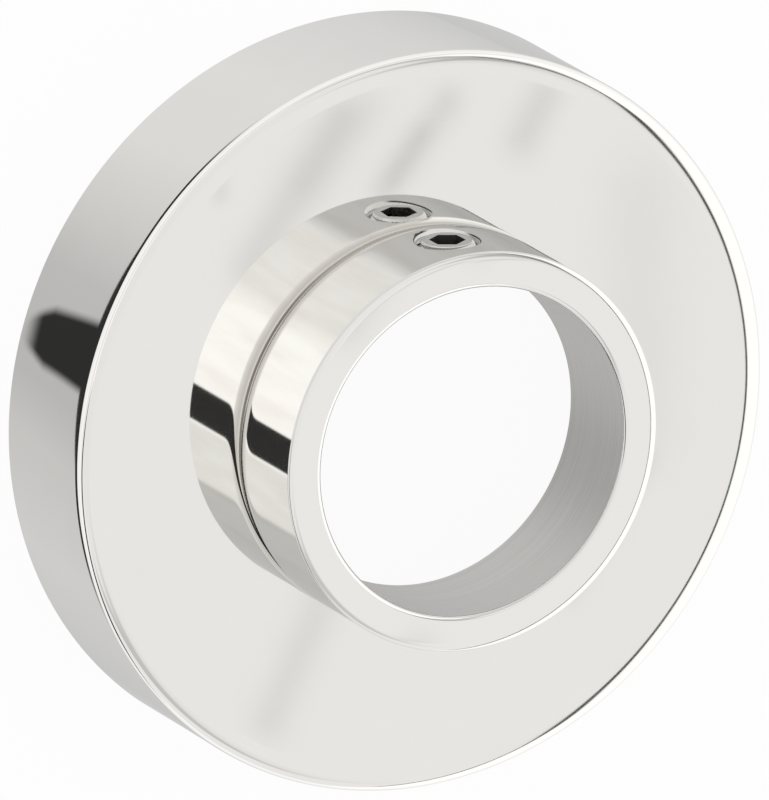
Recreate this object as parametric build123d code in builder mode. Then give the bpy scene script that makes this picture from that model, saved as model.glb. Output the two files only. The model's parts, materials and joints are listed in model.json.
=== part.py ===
from build123d import *
import os

# Pipe rosette: a hollow round cover that hides the hole in the wall, with a collar
# that slides along the pipe and is clamped on it by one set screw.
# The pipe's axis is Z, the open back rim lies on Z = 0 and the set screw faces +Y.
# All sizes are in millimetres.

# The pipe that goes through, and the room round it
pipe_diameter = 31.75
pipe_clearance = 0.075

# Cover: a shallow cup of one wall, flat in front and open at the back
cover_diameter = 72.0
cover_depth = 14.8
face_thickness = 0.8
side_thickness = 1.0
face_edge_radius = 0.8
inner_corner_radius = 0.5
rim_edge_radius = 0.2

# Collar: a thick ring that stands on the face, with a thin spigot through the cover
collar_wall = 3.45
collar_height = 10.2
collar_edge_radius = 0.65
bore_edge_radius = 0.7
foot_edge_radius = 0.7
spigot_wall = 1.4
joint_gap = 0.05
back_edge_chamfer = 0.2

# Set screw: 6 mm thread with a hexagon socket, seated in a radial hole of the collar
thread_diameter = 6.0
thread_clearance = 0.06
screw_height = 4.9
countersink_diameter = 6.8
countersink_angle = 90
screw_recess = 0.1
end_chamfer = 0.6
tip_chamfer = 0.5
socket_across_flats = 3.0
socket_floor = 1.5
socket_turn = -27.5
drill_point_radius = 1.3
drill_point_depth = 0.5
drill_point_taper = 60

# Places that follow from the sizes
cover_radius = cover_diameter / 2
bore_radius = pipe_diameter / 2 + pipe_clearance
collar_radius = bore_radius + collar_wall
spigot_radius = bore_radius + spigot_wall
cover_hole_radius = spigot_radius + joint_gap
cover_inner_radius = cover_radius - side_thickness
hole_radius = thread_diameter / 2
face_back = cover_depth - face_thickness
collar_top = cover_depth + collar_height
screw_z = cover_depth + screw_height
screw_length = collar_wall - screw_recess
socket_depth = screw_length - socket_floor

# The crown of the collar over the set screw, looking out along the screw's axis
crown_plane = Plane(origin=(0, collar_radius, screw_z), x_dir=(1, 0, 0), z_dir=(0, 1, 0))


# Cover, turned about the pipe's axis
with BuildPart() as cover:
    with BuildSketch(Plane.XZ) as cover_section:
        with BuildLine():
            Polyline(
                (cover_hole_radius, cover_depth),
                (cover_hole_radius, face_back),
                (cover_inner_radius, face_back),
                (cover_inner_radius, 0),
                (cover_radius, 0),
                (cover_radius, cover_depth),
                (cover_hole_radius, cover_depth),
            )
        make_face()
        corners = cover_section.vertices()
        front_corner = corners.sort_by_distance((cover_radius, cover_depth))[0]
        inner_corner = corners.sort_by_distance((cover_inner_radius, face_back))[0]
        rim_corners = corners.group_by(Axis.Y)[0]
        fillet(front_corner, face_edge_radius)
        fillet(inner_corner, inner_corner_radius)
        fillet(rim_corners, rim_edge_radius)
    revolve(axis=Axis.Z)

# Collar, turned about the same axis, then drilled and countersunk for the set screw
with BuildPart() as collar:
    with BuildSketch(Plane.XZ) as collar_section:
        with BuildLine():
            Polyline(
                (bore_radius, face_back),
                (bore_radius, collar_top),
                (collar_radius, collar_top),
                (collar_radius, cover_depth),
                (spigot_radius, cover_depth),
                (spigot_radius, face_back),
                (bore_radius, face_back),
            )
        make_face()
        corners = collar_section.vertices()
        bore_corner = corners.sort_by_distance((bore_radius, collar_top))[0]
        front_corner = corners.sort_by_distance((collar_radius, collar_top))[0]
        foot_corner = corners.sort_by_distance((collar_radius, cover_depth))[0]
        back_corners = corners.group_by(Axis.Y)[0]
        fillet(bore_corner, bore_edge_radius)
        fillet(front_corner, collar_edge_radius)
        fillet(foot_corner, foot_edge_radius)
        chamfer(back_corners, back_edge_chamfer)
    revolve(axis=Axis.Z)
    with Locations(crown_plane):
        CounterSinkHole(
            radius=hole_radius,
            counter_sink_radius=countersink_diameter / 2,
            depth=collar_wall + hole_radius,
            counter_sink_angle=countersink_angle,
        )

# Set screw, just under the crown, with its flat tip level with the bore
with BuildPart() as set_screw:
    with BuildSketch(crown_plane.offset(-screw_recess)) as screw_section:
        Circle(hole_radius - thread_clearance)
    extrude(amount=-screw_length)
    chamfer(set_screw.edges().sort_by(Axis.Y)[-1], end_chamfer)
    chamfer(set_screw.edges().sort_by(Axis.Y)[0], tip_chamfer)
    with BuildSketch(crown_plane.offset(-screw_recess)) as socket_section:
        RegularPolygon(
            radius=socket_across_flats / 2,
            side_count=6,
            major_radius=False,
            rotation=socket_turn,
        )
    extrude(amount=-socket_depth, mode=Mode.SUBTRACT)
    with BuildSketch(crown_plane.offset(-screw_recess - socket_depth)) as drill_point:
        Circle(drill_point_radius)
    extrude(amount=-drill_point_depth, taper=drill_point_taper, mode=Mode.SUBTRACT)


os.makedirs("parts", exist_ok=True)

cover.part.label = "cover"
export_step(cover.part, "parts/cover.step")

collar.part.label = "collar"
export_step(collar.part, "parts/collar.step")

set_screw.part.label = "set_screw"
export_step(set_screw.part, "parts/set_screw.step")
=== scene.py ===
import json
import math

import bmesh
import bpy
from mathutils import Matrix, Vector
from mathutils.geometry import interpolate_bezier


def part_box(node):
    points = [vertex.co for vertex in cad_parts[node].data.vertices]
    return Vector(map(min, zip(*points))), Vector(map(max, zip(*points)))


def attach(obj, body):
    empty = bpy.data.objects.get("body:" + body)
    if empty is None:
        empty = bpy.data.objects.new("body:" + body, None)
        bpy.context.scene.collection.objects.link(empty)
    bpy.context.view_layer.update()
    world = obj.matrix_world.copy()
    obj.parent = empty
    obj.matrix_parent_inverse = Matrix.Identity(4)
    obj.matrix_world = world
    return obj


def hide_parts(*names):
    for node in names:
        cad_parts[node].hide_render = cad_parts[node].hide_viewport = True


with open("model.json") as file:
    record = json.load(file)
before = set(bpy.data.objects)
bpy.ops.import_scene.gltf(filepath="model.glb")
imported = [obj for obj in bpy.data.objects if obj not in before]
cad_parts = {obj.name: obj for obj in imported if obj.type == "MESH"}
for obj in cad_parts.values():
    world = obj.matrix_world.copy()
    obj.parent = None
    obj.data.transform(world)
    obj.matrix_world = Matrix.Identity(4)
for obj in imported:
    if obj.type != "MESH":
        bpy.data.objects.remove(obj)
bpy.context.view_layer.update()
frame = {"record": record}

# The cover: a shallow cup of plated brass, pressed from one sheet and open at the back.
# Its face and side are buffed to a mirror, and the hollow behind keeps the press's dull grey.
# The buffing wheel has let the face fall off a little, by 2.4 degrees, before its rounded front edge.
mm = 0.001
cover_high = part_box("cover")[1]
cover_radius, cover_depth = cover_high.x, cover_high.z
cover_side_wall = 1.0 * mm
cover_face_wall = 0.8 * mm
cover_hole_radius = 17.4 * mm
cover_edge_roll = 0.9 * mm
cover_fall_start = 33.65 * mm
cover_fall_depth = 0.0304 * mm
cover_fall_slope = math.tan(math.radians(2.4))
cover_inner_round = 0.5 * mm
cover_rim_round = 0.2 * mm
turning_steps = 512
sharp_corner = math.radians(20)
merge_gap = 0.0005 * mm
plating_colour = (0.88, 0.87, 0.845, 1)
plating_tones = ((0.868, 0.858, 0.832, 1), (0.892, 0.882, 0.858, 1))
pressed_colour = (0.62, 0.61, 0.59, 1)
pressed_tones = ((0.54, 0.53, 0.51, 1), (0.70, 0.69, 0.67, 1))

# How far a rounded edge is pulled towards its corner: 0.5523 makes a true arc, and more pulls it closer.
# The lead is the short straight before and after the edge, as a share of the way to its corner.
round_arc = 0.5523
even_fall = 2 / 3
soft_arc = 0.75
full_sweep = 1.0
edge_lead = -0.03


def rolled_edge(start, corner, end, tightness, points=16):
    """The points of a rounded edge from one side to the other, with a short straight lead at both ends."""
    start, corner, end = (Vector((radius, 0, height)) for radius, height in (start, corner, end))
    arc = interpolate_bezier(start, start.lerp(corner, tightness), end.lerp(corner, tightness), end, points)
    return [start.lerp(corner, edge_lead), *arc, end.lerp(corner, edge_lead)]


def turned(name, outline, rounds):
    """Turns a closed outline in the XZ plane about the pipe's axis, with the rounds given by point number."""
    mesh = bmesh.new()
    corners = [mesh.verts.new(point) for point in outline]
    for corner, following in zip(corners, corners[1:] + corners[:1]):
        mesh.edges.new((corner, following))
    for number, radius in rounds.items():
        bmesh.ops.bevel(mesh, geom=[corners[number]], offset=radius, segments=8, profile=0.5,
                        affect="VERTICES", material=-1)
    bmesh.ops.spin(mesh, geom=mesh.verts[:] + mesh.edges[:], cent=(0, 0, 0), axis=(0, 0, 1),
                   angle=math.tau, steps=turning_steps, use_merge=True)
    bmesh.ops.remove_doubles(mesh, verts=mesh.verts[:], dist=merge_gap)
    return finished_mesh(name, mesh)


def finished_mesh(name, mesh):
    """Turns the faces outwards, shades them smooth up to sharp corners, and makes the object."""
    bmesh.ops.recalc_face_normals(mesh, faces=mesh.faces[:])
    for face in mesh.faces:
        face.smooth = True
    for edge in mesh.edges:
        edge.smooth = edge.calc_face_angle(0) < sharp_corner
    data = bpy.data.meshes.new(name)
    mesh.to_mesh(data)
    mesh.free()
    piece = bpy.data.objects.new(name, data)
    bpy.context.scene.collection.objects.link(piece)
    return piece


def surface(name, colour, roughness, metallic=1.0):
    """A material with its shader set to one finish. Returns the material, its nodes' tree and the shader."""
    material = bpy.data.materials.new(name)
    material.use_nodes = True
    shader = material.node_tree.nodes["Principled BSDF"]
    shader.inputs["Base Color"].default_value = colour
    shader.inputs["Roughness"].default_value = roughness
    shader.inputs["Metallic"].default_value = metallic
    return material, material.node_tree, shader


def linked(tree, kind, inputs, **settings):
    """A node of a kind with its settings, and its inputs given as values or as other nodes' outputs."""
    made = tree.nodes.new(kind)
    for setting, value in settings.items():
        setattr(made, setting, value)
    for socket, value in inputs.items():
        if isinstance(value, bpy.types.NodeSocket):
            tree.links.new(value, made.inputs[socket])
        else:
            made.inputs[socket].default_value = value
    return made


def calc(tree, operation, *values):
    """One sum or function of numbers, as a node's output."""
    inputs = dict(enumerate(values))
    return linked(tree, "ShaderNodeMath", inputs, operation=operation).outputs[0]


def fade(tree, value, start, end):
    """A soft step from 0 to 1 as the value goes from start to end."""
    inputs = {"Value": value, "From Min": start, "From Max": end}
    return linked(tree, "ShaderNodeMapRange", inputs, interpolation_type="SMOOTHSTEP").outputs["Result"]


def mixed(tree, mask, low, high):
    """A colour that goes from the low one to the high one by a mask."""
    return linked(tree, "ShaderNodeMix", {"Factor": mask, 6: low, 7: high}, data_type="RGBA").outputs[2]


def coloured(tree, mask, tones, shader):
    """Shades the metal's colour between a low and a high tone by a mask."""
    tree.links.new(mixed(tree, mask, *tones), shader.inputs["Base Color"])


def set_between(tree, mask, target, low, high):
    """Drives a number of the shader between two values by a mask."""
    inputs = {"Value": mask, "To Min": low, "To Max": high}
    tree.links.new(linked(tree, "ShaderNodeMapRange", inputs).outputs["Result"], target)


def bumped(tree, height, shader, depth):
    """Gives the surface a relief of that depth in metres."""
    node = linked(tree, "ShaderNodeBump", {"Height": height, "Distance": depth, "Strength": 1.0})
    tree.links.new(node.outputs["Normal"], shader.inputs["Normal"])


def place_on(tree):
    """The place on the piece, in metres of the shared frame."""
    return tree.nodes.new("ShaderNodeTexCoord").outputs["Object"]


def from_pipe_axis(tree, parts):
    """How far a place lies from the pipe's axis, out of its parts along X, Y and Z."""
    squares = [calc(tree, "POWER", parts.outputs[axis], 2.0) for axis in (0, 1)]
    return calc(tree, "SQRT", calc(tree, "ADD", *squares))


def cloudy(tree, place, per_metre, detail=3.0):
    """Soft clouds, about so many to the metre."""
    inputs = {"Vector": place, "Scale": per_metre, "Detail": detail}
    return linked(tree, "ShaderNodeTexNoise", inputs).outputs[0]


def turned_lines_group():
    """Fine lines that run round the turning axis, Z, as a tool or a buffing wheel leaves them."""
    group = bpy.data.node_groups.new("turned_lines", "ShaderNodeTree")
    group.interface.new_socket("Place", in_out="INPUT", socket_type="NodeSocketVector")
    for name, value in (("Lines per metre", 8000.0), ("Drift per metre", 60.0)):
        socket = group.interface.new_socket(name, in_out="INPUT", socket_type="NodeSocketFloat")
        socket.default_value = value
    group.interface.new_socket("Lines", in_out="OUTPUT", socket_type="NodeSocketFloat")
    inside = group.nodes.new("NodeGroupInput")
    parts = linked(group, "ShaderNodeSeparateXYZ", {0: inside.outputs["Place"]})
    fine, drift = inside.outputs["Lines per metre"], inside.outputs["Drift per metre"]
    place = linked(group, "ShaderNodeCombineXYZ", {
        0: calc(group, "MULTIPLY", parts.outputs[0], drift),
        1: calc(group, "MULTIPLY", parts.outputs[1], drift),
        2: calc(group, "MULTIPLY", parts.outputs[2], fine)})
    noise = linked(group, "ShaderNodeTexNoise", {
        "Vector": place.outputs[0], "W": calc(group, "MULTIPLY", from_pipe_axis(group, parts), fine),
        "Scale": 1.0, "Detail": 2.0, "Roughness": 0.6}, noise_dimensions="4D")
    outside = group.nodes.new("NodeGroupOutput")
    group.links.new(noise.outputs[0], outside.inputs["Lines"])
    return group


turned_lines = turned_lines_group()


def lines_at(tree, place, per_metre, drift):
    """The turned lines at a place on the surface."""
    inputs = {"Place": place, "Lines per metre": per_metre, "Drift per metre": drift}
    return linked(tree, "ShaderNodeGroup", inputs, node_tree=turned_lines).outputs["Lines"]


def buffed(tree, place, shader):
    """The buffing wheel's finish: lines so fine that they only just soften the mirror."""
    buffing = lines_at(tree, place, per_metre=9000.0, drift=90.0)
    set_between(tree, buffing, shader.inputs["Roughness"], low=0.015, high=0.05)
    bumped(tree, buffing, shader, depth=0.00002 * mm)


mirror_plating, tree, shader = surface("mirror_plating", plating_colour, roughness=0.03)
place = place_on(tree)
coloured(tree, cloudy(tree, place, per_metre=220.0), plating_tones, shader)
buffed(tree, place, shader)

pressed_plating, tree, shader = surface("pressed_plating", pressed_colour, roughness=0.4)
place = place_on(tree)
rings = lines_at(tree, place, per_metre=2500.0, drift=200.0)
coloured(tree, cloudy(tree, place, per_metre=900.0, detail=4.0), pressed_tones, shader)
set_between(tree, rings, shader.inputs["Roughness"], low=0.32, high=0.5)
bumped(tree, rings, shader, depth=0.004 * mm)

face_back = cover_depth - cover_face_wall
cover_inside = cover_radius - cover_side_wall
cover_fall_end = (cover_radius - cover_edge_roll, cover_depth - cover_fall_depth)
cover_corner = cover_fall_end[1] - cover_edge_roll * cover_fall_slope
# Where two rolled edges meet, the leads between them and one of their two like points are left out.
cover_outline = rolled_edge((cover_radius, cover_corner - cover_edge_roll), (cover_radius, cover_corner),
                            cover_fall_end, soft_arc, points=20)[:-1]
cover_outline += rolled_edge(cover_fall_end,
                             (cover_fall_end[0] - cover_fall_depth / cover_fall_slope, cover_depth),
                             (cover_fall_start, cover_depth), even_fall, points=20)[2:]
inner_corner, inner_rim, outer_rim = range(len(cover_outline) + 2, len(cover_outline) + 5)
cover_outline += [Vector((radius, 0, height)) for radius, height in (
    (cover_hole_radius, cover_depth), (cover_hole_radius, face_back),
    (cover_inside, face_back), (cover_inside, 0), (cover_radius, 0))]
cover = turned("mirror_cover", cover_outline, {
    inner_corner: cover_inner_round, inner_rim: cover_rim_round, outer_rim: cover_rim_round})
cover.data.materials.append(mirror_plating)
cover.data.materials.append(pressed_plating)
hollow_edge = 0.1 * mm
for face in cover.data.polygons:
    in_hollow = (face.center.z < face_back + hollow_edge
                 and face.center.xy.length < cover_inside + hollow_edge)
    face.material_index = 1 if in_hollow else 0
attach(cover, "rosette")
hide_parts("cover")

# The collar: a thick ring turned from plated brass bar, with a thin spigot soldered into the cover.
# Its outside is buffed to a mirror like the cover, and its bore keeps the fine lines of the lathe.
# One hole is drilled, countersunk and threaded through its wall for the set screw.
collar_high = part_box("collar")[1]
collar_radius, collar_top = collar_high.x, collar_high.z
bore_mount = next(mount for mount in frame["record"]["mounts"] if mount["name"] == "pipe_bore")
bore_radius = bore_mount["dims"]["r_mm"] * mm
spigot_wall = 1.4 * mm
spigot_chamfer = 0.2 * mm
collar_fall_start = 0.9 * mm
collar_fall_depth = 0.06 * mm
collar_fall_slope = math.tan(math.radians(25))
collar_edge_roll = 0.12 * mm
bore_edge_height = 0.3 * mm
bore_edge_width = 0.45 * mm
foot_roll_height = 3.0 * mm
foot_roll_width = 1.6 * mm
screw_low, screw_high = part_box("set_screw")
screw_height = (screw_low.z + screw_high.z) / 2
screw_axis = Vector((0, 0, screw_height))
hole_radius = 3.0 * mm
countersink_radius = 3.4 * mm
countersink_reach = 1.0 * mm
thread_pitch = 1.0 * mm
turned_colour = (0.60, 0.59, 0.57, 1)
turned_tones = ((0.50, 0.495, 0.48, 1), (0.72, 0.71, 0.69, 1))
tapped_colour = (0.55, 0.54, 0.52, 1)
tapped_tones = ((0.30, 0.29, 0.27, 1), (0.66, 0.65, 0.63, 1))
streak_tones = ((0.825, 0.80, 0.765, 1), (0.895, 0.885, 0.86, 1))
# Painted shade on the collar's foot.
foot_shade_colour = (0.61, 0.59, 0.56, 1)
# Painted shade on the collar's front edge, dimming its reflection.
edge_shade_colour = (0.71, 0.70, 0.68, 1)
# Painted shade in the crease at the collar's foot.
crease_shade_colour = (0.16, 0.14, 0.12, 1)
countersink_colour = (0.72, 0.71, 0.69, 1)
# Painted shade on the countersink's outer edge.
countersink_shade_colour = (0.05, 0.045, 0.04, 1)


def turned_across(name, outline, steps):
    """Turns an open outline of (radius, place along the screw) points about the screw's axis."""
    mesh = bmesh.new()
    corners = [mesh.verts.new((radius, along, 0)) for radius, along in outline]
    edges = [mesh.edges.new(pair) for pair in zip(corners, corners[1:])]
    bmesh.ops.spin(mesh, geom=corners + edges, cent=(0, 0, 0), axis=(0, 1, 0),
                   angle=math.tau, steps=steps, use_merge=True)
    bmesh.ops.remove_doubles(mesh, verts=mesh.verts[:], dist=merge_gap)
    bmesh.ops.translate(mesh, verts=mesh.verts[:], vec=screw_axis)
    return finished_mesh(name, mesh)


def cut(piece, tool, operation="DIFFERENCE"):
    """Cuts a piece with a tool, keeps the result as the piece's mesh, and takes the tool away."""
    modifier = piece.modifiers.new("cut", "BOOLEAN")
    modifier.operation = operation
    modifier.object = tool
    modifier.solver = "EXACT"
    result = bmesh.new()
    result.from_object(piece, bpy.context.evaluated_depsgraph_get())
    name = piece.name
    for used in (piece, tool):
        bpy.data.objects.remove(used)
    bmesh.ops.remove_doubles(result, verts=result.verts[:], dist=merge_gap)
    return finished_mesh(name, result)


spigot_radius = bore_radius + spigot_wall
collar_fall_end = (collar_radius - collar_edge_roll, collar_top - collar_fall_depth)
collar_corner = collar_fall_end[1] - collar_edge_roll * collar_fall_slope
collar_outline = rolled_edge((bore_radius, collar_top - bore_edge_height), (bore_radius, collar_top),
                             (bore_radius + bore_edge_width, collar_top), round_arc)
collar_outline += rolled_edge((collar_radius - collar_fall_start, collar_top),
                              (collar_fall_end[0] - collar_fall_depth / collar_fall_slope, collar_top),
                              collar_fall_end, even_fall)[:-1]
collar_outline += rolled_edge(collar_fall_end, (collar_radius, collar_corner),
                              (collar_radius, collar_corner - collar_edge_roll), round_arc)[2:]
collar_outline += rolled_edge((collar_radius, cover_depth + foot_roll_height), (collar_radius, cover_depth),
                              (collar_radius - foot_roll_width, cover_depth), full_sweep, points=28)
collar_outline += [Vector((radius, 0, height)) for radius, height in (
    (spigot_radius, cover_depth), (spigot_radius, face_back + spigot_chamfer),
    (spigot_radius - spigot_chamfer, face_back), (bore_radius + spigot_chamfer, face_back),
    (bore_radius, face_back + spigot_chamfer))]
drill_bit = turned_across("drill_bit", [
    (0, 0), (hole_radius, 0), (hole_radius, collar_radius - (countersink_radius - hole_radius)),
    (countersink_radius + countersink_reach, collar_radius + countersink_reach),
    (0, collar_radius + countersink_reach)], steps=128)
collar = cut(turned("mirror_collar", collar_outline, {}), drill_bit)


def in_millimetres(tree, length):
    """A length in metres as millimetres."""
    return calc(tree, "MULTIPLY", 1 / mm, length)


def band(tree, value, start, full, fading, end):
    """A soft band: 0 up to the start, 1 from full to fading, and 0 again from the end."""
    return calc(tree, "MULTIPLY", fade(tree, value, start, full), fade(tree, value, end, fading))


turned_bore, tree, shader = surface("turned_bore", turned_colour, roughness=0.3)
lathe_lines = lines_at(tree, place_on(tree), per_metre=5000.0, drift=25.0)
coloured(tree, lathe_lines, turned_tones, shader)
set_between(tree, lathe_lines, shader.inputs["Roughness"], low=0.26, high=0.42)
bumped(tree, lathe_lines, shader, depth=0.003 * mm)

# A wave texture turns 20 radians to the unit, so this share of a full turn gives one ridge to each pitch.
unit_share = 0.05
threaded_hole, tree, shader = surface("threaded_hole", tapped_colour, roughness=0.3)
ridges = linked(tree, "ShaderNodeTexWave", {
    "Vector": place_on(tree), "Scale": unit_share * math.tau / thread_pitch},
    bands_direction="Y", wave_profile="TRI").outputs[0]
coloured(tree, ridges, tapped_tones, shader)
bumped(tree, ridges, shader, depth=0.5 * mm)

# The collar's painted shade, by height over the cover's face in millimetres: painted shade darkens the foot,
# a thin band of painted shade dims the front edge's reflection, and a line of painted shade lies in the
# crease at the foot, most of it on the left side.
foot_shade_heights = (1.7, 0.5)
foot_shade_depth = 0.8
edge_shade_heights = (9.95, 10.0, 10.13, 10.16)
clean_edge_heights = (9.7, 10.1)
crease_shade_heights = (0.16, 0.20, 0.32, 0.38)
crease_shade_everywhere, crease_shade_on_left = 0.35, 0.45
left_side = (-8 * mm, -15 * mm)
streaks_per_metre = (420.0, 420.0, 60.0)
streak_contrast = (0.3, 0.7)
collar_plating, tree, shader = surface("collar_plating", plating_colour, roughness=0.03)
place = place_on(tree)
parts = linked(tree, "ShaderNodeSeparateXYZ", {0: place})
over_face = in_millimetres(tree, calc(tree, "SUBTRACT", parts.outputs[2], cover_depth))
streak_place = linked(tree, "ShaderNodeMapping", {"Vector": place, "Scale": streaks_per_metre}).outputs[0]
streaks = calc(tree, "MAXIMUM", fade(tree, cloudy(tree, streak_place, per_metre=1.0), *streak_contrast),
               fade(tree, over_face, *clean_edge_heights))
# Painted shade, darkest at the foot and fading out 1.7 mm up.
foot_shade = calc(tree, "MULTIPLY", foot_shade_depth, fade(tree, over_face, *foot_shade_heights))
# Painted shade in a thin band at the front edge, dimming its reflection.
painted_edge_shade = band(tree, over_face, *edge_shade_heights)
# Painted shade in the crease at the foot, stronger on the left.
crease_shade_strength = calc(tree, "ADD", crease_shade_everywhere, calc(
    tree, "MULTIPLY", crease_shade_on_left, fade(tree, parts.outputs[0], *left_side)))
painted_crease_shade = calc(tree, "MULTIPLY", band(tree, over_face, *crease_shade_heights), crease_shade_strength)
metal = mixed(tree, streaks, *streak_tones)
metal = mixed(tree, foot_shade, metal, foot_shade_colour)
metal = mixed(tree, painted_edge_shade, metal, edge_shade_colour)
coloured(tree, painted_crease_shade, (metal, crease_shade_colour), shader)
buffed(tree, place, shader)

# The countersink has painted shade at its outer edge, at both ends of a line across it, which leans by 27.5
# degrees.
shade_line_cosine, shade_line_tangent = 0.887, 0.52
countersink_shade_depth = (0.15, 0.11)
countersink_shade_ends = (1.6, 2.4)
countersunk, tree, shader = surface("countersunk", countersink_colour, roughness=0.32)
parts = linked(tree, "ShaderNodeSeparateXYZ", {0: place_on(tree)})
under_crown = in_millimetres(tree, calc(tree, "SUBTRACT", collar_radius, from_pipe_axis(tree, parts)))
up_hole = calc(tree, "SUBTRACT", parts.outputs[2], screw_height)
along_shade_line = in_millimetres(tree, calc(tree, "MULTIPLY", shade_line_cosine, calc(
    tree, "ADD", parts.outputs[0], calc(tree, "MULTIPLY", shade_line_tangent, up_hole))))
# Painted shade at the countersink's outer edge.
painted_countersink_shade = calc(tree, "MULTIPLY", fade(tree, under_crown, *countersink_shade_depth),
            fade(tree, calc(tree, "ABSOLUTE", along_shade_line), *countersink_shade_ends))
coloured(tree, painted_countersink_shade, (countersink_colour, countersink_shade_colour), shader)

for finish in (collar_plating, turned_bore, threaded_hole, countersunk):
    collar.data.materials.append(finish)
bored, threaded, sunk = 1, 2, 3
hole_fit = 0.02 * mm
wall_fit = 0.01 * mm
crown_fit = 0.001 * mm
thread_end = 0.3 * mm
for face in collar.data.polygons:
    middle = face.center
    from_axis = middle.xy.length
    from_screw = math.hypot(middle.x, middle.z - screw_height)
    in_hole = (middle.y > 0 and from_screw < hole_radius + hole_fit
               and from_axis > bore_radius + wall_fit and middle.y < collar_radius - thread_end)
    in_bore = from_axis < bore_radius + hole_fit or middle.z < face_back + spigot_chamfer
    in_countersink = (middle.y > 0 and from_screw < countersink_radius
                      and from_axis < collar_radius - crown_fit and middle.z < collar_top - collar_fall_start)
    if in_hole:
        face.material_index = threaded
    elif in_bore:
        face.material_index = bored
    elif in_countersink:
        face.material_index = sunk
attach(collar, "rosette")
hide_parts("collar")

# The set screw: a headless stainless screw of 6 mm thread with a hexagon socket, turned in by a key.
# It is made from drawn bar: rolled thread, both ends chamfered, the socket broached over a drill point.
# It sits just under the crown of the collar, and its flat tip is level with the bore.
screw_radius = (screw_high.x - screw_low.x) / 2
screw_outer, screw_inner = screw_high.y, screw_low.y
end_chamfer = 0.6 * mm
tip_chamfer = 0.5 * mm
thread_depth = 0.55 * mm
thread_merge_gap = 0.002 * mm
socket_flats = 3.0 * mm
socket_depth = 1.85 * mm
socket_turn = math.radians(27.5)
socket_corner = socket_flats / math.sqrt(3)
drill_point_radius = 1.3 * mm
drill_point_depth = 0.5 * mm
steps_a_turn = 96
spare_turns = 3
margin = 0.2 * mm
key_length = socket_depth + 0.5 * mm
steel_colour = (0.66, 0.65, 0.63, 1)
steel_tones = ((0.56, 0.55, 0.53, 1), (0.80, 0.79, 0.77, 1))
# Painted shade colours for the deep hexagon socket.
socket_shade_colour = (0.05, 0.045, 0.04, 1)
socket_shade_tones = ((0.03, 0.026, 0.023, 1), (0.065, 0.058, 0.052, 1))

# One tooth of the thread, as (radius, share of the pitch) from root to root.
root_radius = screw_radius - thread_depth
tooth = [(root_radius, 0), (root_radius, 0.12), (screw_radius, 0.45), (screw_radius, 0.58),
         (root_radius, 0.91), (root_radius, 1)]
thread = bmesh.new()
thread_start = screw_inner - spare_turns / 2 * thread_pitch
turns = math.ceil((screw_outer - screw_inner) / thread_pitch) + spare_turns
tooth_corners = [thread.verts.new((radius, thread_start + share * thread_pitch, 0))
                 for radius, share in tooth]
tooth_edges = [thread.edges.new(pair) for pair in zip(tooth_corners, tooth_corners[1:])]
bmesh.ops.spin(thread, geom=tooth_corners + tooth_edges, cent=(0, 0, 0), axis=(0, 1, 0),
               dvec=(0, thread_pitch / steps_a_turn, 0), angle=math.tau * turns,
               steps=steps_a_turn * turns, use_merge=False)
bmesh.ops.remove_doubles(thread, verts=thread.verts[:], dist=thread_merge_gap)
for level, side in ((screw_inner - margin, -1), (screw_outer + margin, 1)):
    slice_at = bmesh.ops.bisect_plane(thread, geom=thread.verts[:] + thread.edges[:] + thread.faces[:],
                                      plane_co=(0, level, 0), plane_no=(0, side, 0), clear_outer=True)
    rim = [part for part in slice_at["geom_cut"] if isinstance(part, bmesh.types.BMEdge)]
    bmesh.ops.edgeloop_fill(thread, edges=rim)
bmesh.ops.translate(thread, verts=thread.verts[:], vec=screw_axis)
screw = finished_mesh("socket_set_screw", thread)

blank = turned_across("screw_blank", [
    (0, screw_inner), (screw_radius - tip_chamfer, screw_inner),
    (screw_radius + margin, screw_inner + tip_chamfer + margin),
    (screw_radius + margin, screw_outer - end_chamfer - margin),
    (screw_radius - end_chamfer, screw_outer), (0, screw_outer)], steps=128)
screw = cut(screw, blank, "INTERSECT")

socket_floor = screw_outer - socket_depth
key = bmesh.new()
bmesh.ops.create_circle(key, cap_ends=True, radius=socket_corner, segments=6)
for angle, axis in ((math.pi / 6 + socket_turn, "Z"), (math.pi / 2, "X")):
    bmesh.ops.rotate(key, verts=key.verts[:], cent=(0, 0, 0), matrix=Matrix.Rotation(angle, 3, axis))
shaft = bmesh.ops.extrude_face_region(key, geom=key.faces[:])
bmesh.ops.translate(key, verts=[part for part in shaft["geom"] if isinstance(part, bmesh.types.BMVert)],
                    vec=(0, key_length, 0))
bmesh.ops.translate(key, verts=key.verts[:], vec=(0, socket_floor, screw_height))
screw = cut(screw, finished_mesh("hexagon_key", key))
drill_point = turned_across("drill_point", [
    (0, socket_floor - drill_point_depth), (drill_point_radius, socket_floor),
    (drill_point_radius, socket_floor + margin), (0, socket_floor + margin)], steps=64)
screw = cut(screw, drill_point)

bright_steel, tree, shader = surface("bright_steel", steel_colour, roughness=0.2)
place = linked(tree, "ShaderNodeMapping", {
    "Vector": place_on(tree), "Rotation": (math.pi / 2, 0, 0), "Location": (0, screw_height, 0)}).outputs[0]
facing_lines = lines_at(tree, place, per_metre=9000.0, drift=400.0)
coloured(tree, facing_lines, steel_tones, shader)
set_between(tree, facing_lines, shader.inputs["Roughness"], low=0.14, high=0.3)
bumped(tree, facing_lines, shader, depth=0.004 * mm)

# The socket's near-black colour is painted shade for the deep hexagon hole in the bright steel.
painted_shade_socket, tree, shader = surface("painted_shade_socket", socket_shade_colour, roughness=0.5, metallic=0.4)
coloured(tree, cloudy(tree, place_on(tree), per_metre=1500.0), socket_shade_tones, shader)

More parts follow.
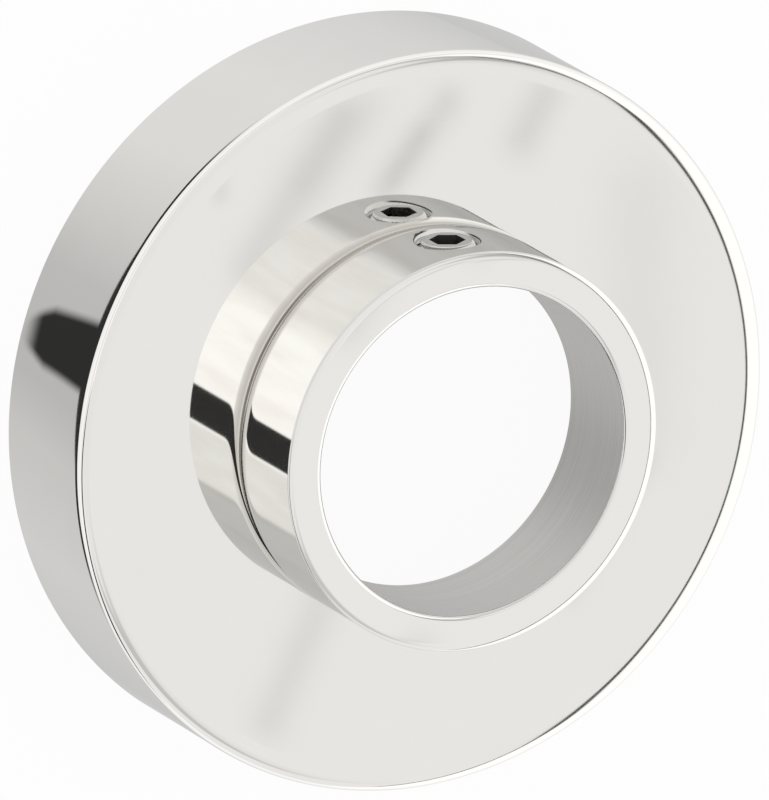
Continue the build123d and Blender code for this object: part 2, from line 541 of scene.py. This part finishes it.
screw.data.materials.append(bright_steel)
screw.data.materials.append(painted_shade_socket)
end_face = 0.1 * mm
for face in screw.data.polygons:
    from_axis = math.hypot(face.center.x, face.center.z - screw_height)
    between_ends = screw_inner + end_face < face.center.y < screw_outer - end_face
    face.material_index = 1 if from_axis < socket_corner and between_ends else 0
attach(screw, "screw")
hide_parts("set_screw")

# The floor: a plain white sheet that the rosette lies on. The camera sees it as white paper with a
# faint shadow, and the bright metal reflects the studio below the horizon in its place.
floor_reach = 1.5
paper_colour = (0.9, 0.9, 0.9, 1)
shadow_share = 0.06


def prop_material(name):
    """An empty material for a thing of the studio. Returns the material and its nodes' tree."""
    material = bpy.data.materials.new(name)
    material.use_nodes = True
    material.node_tree.nodes.clear()
    return material, material.node_tree


def put_out(tree, shader, kind="ShaderNodeOutputMaterial"):
    """Ends a tree of nodes with the shader that it puts out."""
    tree.links.new(shader.outputs[0], tree.nodes.new(kind).inputs["Surface"])


def grey(brightness):
    """A plain grey, or white from 1 up."""
    return (brightness, brightness, brightness, 1)


floor_mesh = bmesh.new()
bmesh.ops.create_grid(floor_mesh, x_segments=2, y_segments=2, size=floor_reach)
floor = finished_mesh("white_sheet", floor_mesh)
white_sheet, tree = prop_material("white_sheet")
paper = linked(tree, "ShaderNodeBsdfDiffuse", {"Color": paper_colour})
glow = linked(tree, "ShaderNodeEmission", {"Color": grey(1.0), "Strength": 1.0})
path = tree.nodes.new("ShaderNodeLightPath")
keep_white = calc(tree, "MULTIPLY", path.outputs["Is Camera Ray"], 1 - shadow_share)
sheet = linked(tree, "ShaderNodeMixShader", {0: keep_white, 1: paper.outputs[0], 2: glow.outputs[0]})
put_out(tree, linked(tree, "ShaderNodeMixShader", {
    0: tree.nodes.new("ShaderNodeNewGeometry").outputs["Backfacing"], 1: sheet.outputs[0],
    2: tree.nodes.new("ShaderNodeBsdfTransparent").outputs[0]}))
floor.data.materials.append(white_sheet)
floor.visible_glossy = False

# The studio: a tent round a grey table, with panels of different brightness in its roof. Its wall is
# white up to 22 degrees and light grey above, and has one dark gap, which leans to one side as it comes
# down. Directions are in degrees round the table, and heights in degrees over the horizon.
toward_camera = Vector((-0.440, 0.302, 0.8455)).normalized()
mirrored_camera = Vector((-toward_camera.x, -toward_camera.y, toward_camera.z))
gap_direction, gap_height, gap_lean = 201.5, 57.7, 0.73
gap_half_width, gap_softness = 10.0, 0.7
gap_heights = (-3.0, 3.0, 61.5, 64.0)
gap_shade = grey(0.035)
world = bpy.data.worlds.new("studio_tent")
bpy.context.scene.world = world
world.use_nodes = True
tree = world.node_tree
tree.nodes.clear()
looking = tree.nodes.new("ShaderNodeTexCoord").outputs["Generated"]
direction = linked(tree, "ShaderNodeSeparateXYZ", {0: looking})
around = calc(tree, "ARCTAN2", direction.outputs[1], direction.outputs[0])
around = calc(tree, "FRACT", calc(tree, "ADD", calc(tree, "DIVIDE", around, math.tau), 1.0))
turned_by = calc(tree, "MULTIPLY", around, 360.0)
height = calc(tree, "DEGREES", calc(tree, "ARCSINE", direction.outputs[2]))


def ring(panels):
    """One ring of the tent, from its panels' (direction, brightness) round the table."""
    node = linked(tree, "ShaderNodeValToRGB", {"Fac": around})
    points = node.color_ramp.elements
    while len(points) > 1:
        points.remove(points[-1])
    for number, (degrees, brightness) in enumerate(panels):
        point = points[0] if number == 0 else points.new(degrees / 360)
        point.position = degrees / 360
        point.color = grey(brightness)
    return node.outputs["Color"]


table = ring([(0, 0.63), (27, 0.72), (75, 0.80), (112, 0.79), (136, 0.69), (160, 0.56), (196, 0.53),
              (208, 0.585), (215, 0.62), (255, 0.68), (283, 0.63), (307, 0.58), (319, 0.60), (322, 1.0),
              (328, 1.0), (331, 0.60)])
roof = ring([(0, 0.50), (15, 0.56), (40, 0.60), (55, 0.61), (70, 0.66), (80, 0.95), (105, 1.0), (126, 1.02),
             (142, 1.22), (212, 1.24), (213, 0.97), (247, 0.97), (249.5, 0.62), (290, 0.59), (312, 0.62),
             (319, 0.9), (332, 0.9), (339, 0.5)])
# Each layer of the tent over the table is (colour, the height where it starts, softness of that edge).
layers = [(grey(1.0), -39.0, 1.0), (grey(1.1), 5.0, 3.0), (grey(0.9), 22.0, 5.0), (roof, 54.5, 1.0),
          (grey(0.88), 63.0, 2.0)]
tent = table
for colour, edge, softness in layers:
    tent = mixed(tree, fade(tree, height, edge - softness, edge + softness), tent, colour)
gap_middle = calc(tree, "ADD", gap_direction, calc(
    tree, "MULTIPLY", gap_lean, calc(tree, "SUBTRACT", gap_height, height)))
from_gap = calc(tree, "ABSOLUTE", calc(tree, "SUBTRACT", turned_by, gap_middle))
gap = calc(tree, "MULTIPLY", band(tree, height, *gap_heights),
           fade(tree, from_gap, gap_half_width + gap_softness, gap_half_width - gap_softness))
tent = mixed(tree, gap, tent, gap_shade)

# The frame of the light panel that the face mirrors: a straight dark line beside it, with white beyond.
# Places across the line are in degrees, and those along it say how straight at the panel one looks.
frame_turn = math.radians(30)
frame_line_across = (2.2, 2.4, 2.8, 3.1)
frame_line_along = (0.90, 0.94)
white_across = (2.6, 3.0)
white_along = (0.55, 0.70)
white_under = (57.45, 57.0)
frame_shade, white_shade = grey(0.06), grey(1.15)


def of_vectors(tree, operation, inputs, output=0):
    """One sum or function of vectors, as a node's output."""
    return linked(tree, "ShaderNodeVectorMath", inputs, operation=operation).outputs[output]


def straight_at(side):
    """How straight a direction of the tent points at a side: 1 straight at it, and 0 square to it."""
    return of_vectors(tree, "DOT_PRODUCT", {0: looking, 1: side}, "Value")


level_side = Vector((mirrored_camera.x, mirrored_camera.y, 0)).normalized()
right_side = mirrored_camera.cross(level_side).normalized()
down_side = right_side.cross(mirrored_camera)
frame_side = down_side * math.cos(frame_turn) + right_side * math.sin(frame_turn)
off_panel = calc(tree, "MULTIPLY", math.degrees(1), straight_at(frame_side))
near_panel = straight_at(mirrored_camera)
under_panel = calc(tree, "MULTIPLY", fade(tree, near_panel, *white_along), fade(tree, height, *white_under))
beyond = calc(tree, "MULTIPLY", under_panel, fade(tree, off_panel, *white_across))
frame_line = calc(tree, "MULTIPLY", fade(tree, near_panel, *frame_line_along),
                  band(tree, off_panel, *frame_line_across))
tent = mixed(tree, beyond, tent, white_shade)
tent = mixed(tree, frame_line, tent, frame_shade)
studio_light = linked(tree, "ShaderNodeBackground", {"Color": tent, "Strength": 1.0})
white_backdrop = linked(tree, "ShaderNodeBackground", {"Color": grey(1.0), "Strength": 1.0})
put_out(tree, linked(tree, "ShaderNodeMixShader", {
    0: tree.nodes.new("ShaderNodeLightPath").outputs["Is Camera Ray"],
    1: studio_light.outputs[0], 2: white_backdrop.outputs[0]}), "ShaderNodeOutputWorld")

# A dark sleeve of cloth, low beside the cover, that only the polished side shows, as a dark patch.
# It is a clear sheet with the sleeve drawn on it: a round cuff by the cover, a thin arm and a broad body.
# Places on it are millimetres from the pipe's axis, and widths are degrees round it.
sleeve_reach = 65 * mm
sleeve_drop = 5 * mm
sleeve_direction = 15.0
cuff_start, cuff_roundness, cuff_half_width = 38.2, 0.33, 4.6
arm_start, arm_spread, arm_flare = 39.9, 0.1, 0.4
body_start, body_lean, body_spread = 47.0, 0.065, 24.0
widest_half, flare_softness, edge_softness = 56.0, 1.0, 1.2
sleeve_ends = (57.0, 38.0)
sleeve_places = (38.3, 40.3, 59.0, 60.0)
cloth_colour = grey(0.03)


def past(tree, value, start):
    """How far a value lies past a start, and 0 before it."""
    return calc(tree, "MAXIMUM", calc(tree, "SUBTRACT", value, start), 0.0)


def only_mirrored(prop):
    """Lets a thing of the studio show in the polished metal and nowhere else."""
    for unseen in ("visible_camera", "visible_diffuse", "visible_transmission", "visible_shadow"):
        setattr(prop, unseen, False)


sleeve_mesh = bmesh.new()
bmesh.ops.create_grid(sleeve_mesh, x_segments=1, y_segments=1, size=sleeve_reach)
bmesh.ops.translate(sleeve_mesh, verts=sleeve_mesh.verts[:], vec=(0, 0, -sleeve_drop))
sleeve = finished_mesh("dark_sleeve", sleeve_mesh)
dark_sleeve, tree = prop_material("dark_sleeve")
parts = linked(tree, "ShaderNodeSeparateXYZ", {0: place_on(tree)})
out_from_axis = in_millimetres(tree, from_pipe_axis(tree, parts))
off_middle = calc(tree, "SUBTRACT", calc(tree, "DEGREES", calc(
    tree, "ARCTAN2", parts.outputs[1], calc(tree, "MULTIPLY", parts.outputs[0], -1.0))), sleeve_direction)
to_side = calc(tree, "ABSOLUTE", off_middle)
arm_growth = calc(tree, "ADD", arm_spread, calc(
    tree, "MULTIPLY", arm_flare, fade(tree, off_middle, flare_softness, -flare_softness)))
arm = calc(tree, "MULTIPLY", arm_growth, past(tree, out_from_axis, arm_start))
body_edge = calc(tree, "ADD", body_start, calc(
    tree, "MULTIPLY", body_lean, calc(tree, "MINIMUM", off_middle, 0.0)))
body = calc(tree, "MULTIPLY", body_spread, past(tree, out_from_axis, body_edge))
cuff = calc(tree, "SQRT", calc(tree, "MINIMUM", calc(
    tree, "MULTIPLY", cuff_roundness, past(tree, out_from_axis, cuff_start)), 1.0))
half_width = calc(tree, "MINIMUM", widest_half, calc(
    tree, "ADD", calc(tree, "ADD", arm, body), calc(tree, "MULTIPLY", cuff_half_width, cuff)))
inside_edge = fade(tree, calc(tree, "SUBTRACT", to_side, half_width), edge_softness, -edge_softness)
inside_edge = calc(tree, "MULTIPLY", inside_edge, fade(tree, to_side, *sleeve_ends))
sleeve_mask = calc(tree, "MULTIPLY", inside_edge, band(tree, out_from_axis, *sleeve_places))
cloth = linked(tree, "ShaderNodeEmission", {"Color": cloth_colour, "Strength": 1.0})
clear = tree.nodes.new("ShaderNodeBsdfTransparent")
put_out(tree, linked(tree, "ShaderNodeMixShader", {0: sleeve_mask, 1: clear.outputs[0], 2: cloth.outputs[0]}))
sleeve.data.materials.append(dark_sleeve)
only_mirrored(sleeve)

# A sheet of clear film hangs over the table towards the side that the face mirrors. Its faint folds
# give the face its soft grey streaks. Each fold is (start, end, width, darkness), where the places and
# widths are millimetres on the face.
film_height = 200 * mm
film_reach = 60 * mm
film_shift = mirrored_camera * (film_height / mirrored_camera.z)
fold_softness = -1.5
folds = [((-19, 19), (-9, 33), 3.0, 0.15), ((-12, 27), (-6, 34), 3.0, 0.07), ((-4, 25), (3, 33), 2.2, 0.15),
         ((0, 30), (-3, 26), 1.6, 0.10), ((11.5, 28), (14, 32), 2.6, 0.15),
         ((-22.5, 27), (-22.5, 28), 1.2, 0.12), ((25, -4), (25, 20), 5.5, 0.07),
         ((25.2, -8), (17, -20), 1.8, 0.14), ((-11, -17), (-17, -29), 2.8, 0.12)]


def fold_group():
    """One soft fold: a mask that is 1 along a line and fades over its width."""
    group = bpy.data.node_groups.new("fold", "ShaderNodeTree")
    for name in ("Place", "Start", "Along"):
        group.interface.new_socket(name, in_out="INPUT", socket_type="NodeSocketVector")
    group.interface.new_socket("Width", in_out="INPUT", socket_type="NodeSocketFloat")
    group.interface.new_socket("Mask", in_out="OUTPUT", socket_type="NodeSocketFloat")
    inside = group.nodes.new("NodeGroupInput")
    along = inside.outputs["Along"]
    from_start = of_vectors(group, "SUBTRACT", {0: inside.outputs["Place"], 1: inside.outputs["Start"]})
    share = calc(group, "DIVIDE", of_vectors(group, "DOT_PRODUCT", {0: from_start, 1: along}, "Value"),
                 of_vectors(group, "DOT_PRODUCT", {0: along, 1: along}, "Value"))
    share = linked(group, "ShaderNodeClamp", {"Value": share}).outputs[0]
    nearest = of_vectors(group, "SCALE", {0: along, "Scale": share})
    away = of_vectors(group, "DISTANCE", {0: from_start, 1: nearest}, "Value")
    spread = calc(group, "POWER", calc(group, "DIVIDE", away, inside.outputs["Width"]), 2.0)
    outside = group.nodes.new("NodeGroupOutput")
    mask = calc(group, "EXPONENT", calc(group, "MULTIPLY", spread, fold_softness))
    group.links.new(mask, outside.inputs["Mask"])
    return group


film_mesh = bmesh.new()
bmesh.ops.create_grid(film_mesh, x_segments=1, y_segments=1, size=film_reach)
bmesh.ops.translate(film_mesh, verts=film_mesh.verts[:], vec=film_shift + Vector((0, 0, cover_depth)))
film = finished_mesh("folded_film", film_mesh)
folded_film, tree = prop_material("folded_film")
place = linked(tree, "ShaderNodeMapping", {
    "Vector": place_on(tree), "Location": (-film_shift.x / mm, -film_shift.y / mm, 0),
    "Scale": (1 / mm, 1 / mm, 0)}).outputs[0]
fold = fold_group()
light_left = 1.0
for fold_start, fold_end, width, darkness in folds:
    start, end = Vector((*fold_start, 0)), Vector((*fold_end, 0))
    mask = linked(tree, "ShaderNodeGroup", {}, node_tree=fold)
    tree.links.new(place, mask.inputs["Place"])
    mask.inputs["Start"].default_value = start
    mask.inputs["Along"].default_value = end - start
    mask.inputs["Width"].default_value = width
    light_left = calc(tree, "MULTIPLY", light_left, calc(
        tree, "SUBTRACT", 1.0, calc(tree, "MULTIPLY", mask.outputs["Mask"], darkness)))
put_out(tree, linked(tree, "ShaderNodeBsdfTransparent", {"Color": light_left}))
film.data.materials.append(folded_film)
only_mirrored(film)

# The camera: it looks down on the rosette from its front left, from far off with a long lens, so
# the cover's round edges stay true ellipses. The picture is 800 pixels high.
lens = 1600.0
sensor = 36.0
picture_height = 800
pixels_a_millimetre = 10.694
view_height = picture_height / pixels_a_millimetre * mm
aim_left = 3.590 * mm
aim_up = 2.137 * mm
camera_up = (Vector((0, 1, 0)) - toward_camera.y * toward_camera).normalized()
camera_right = (-toward_camera).cross(camera_up)
aim = Vector((0, 0, cover_depth)) - aim_left * camera_right + aim_up * camera_up
camera_data = bpy.data.cameras.new("long_lens")
camera_data.lens = lens
camera_data.sensor_width = sensor
camera_data.clip_start = 0.1
camera_data.clip_end = 20.0
camera = bpy.data.objects.new("long_lens", camera_data)
bpy.context.scene.collection.objects.link(camera)
turn = Matrix((camera_right, camera_up, toward_camera)).transposed().to_4x4()
camera.matrix_world = Matrix.Translation(aim + toward_camera * view_height * lens / sensor) @ turn
bpy.context.scene.camera = camera
bpy.context.scene.view_settings.view_transform = "Standard"
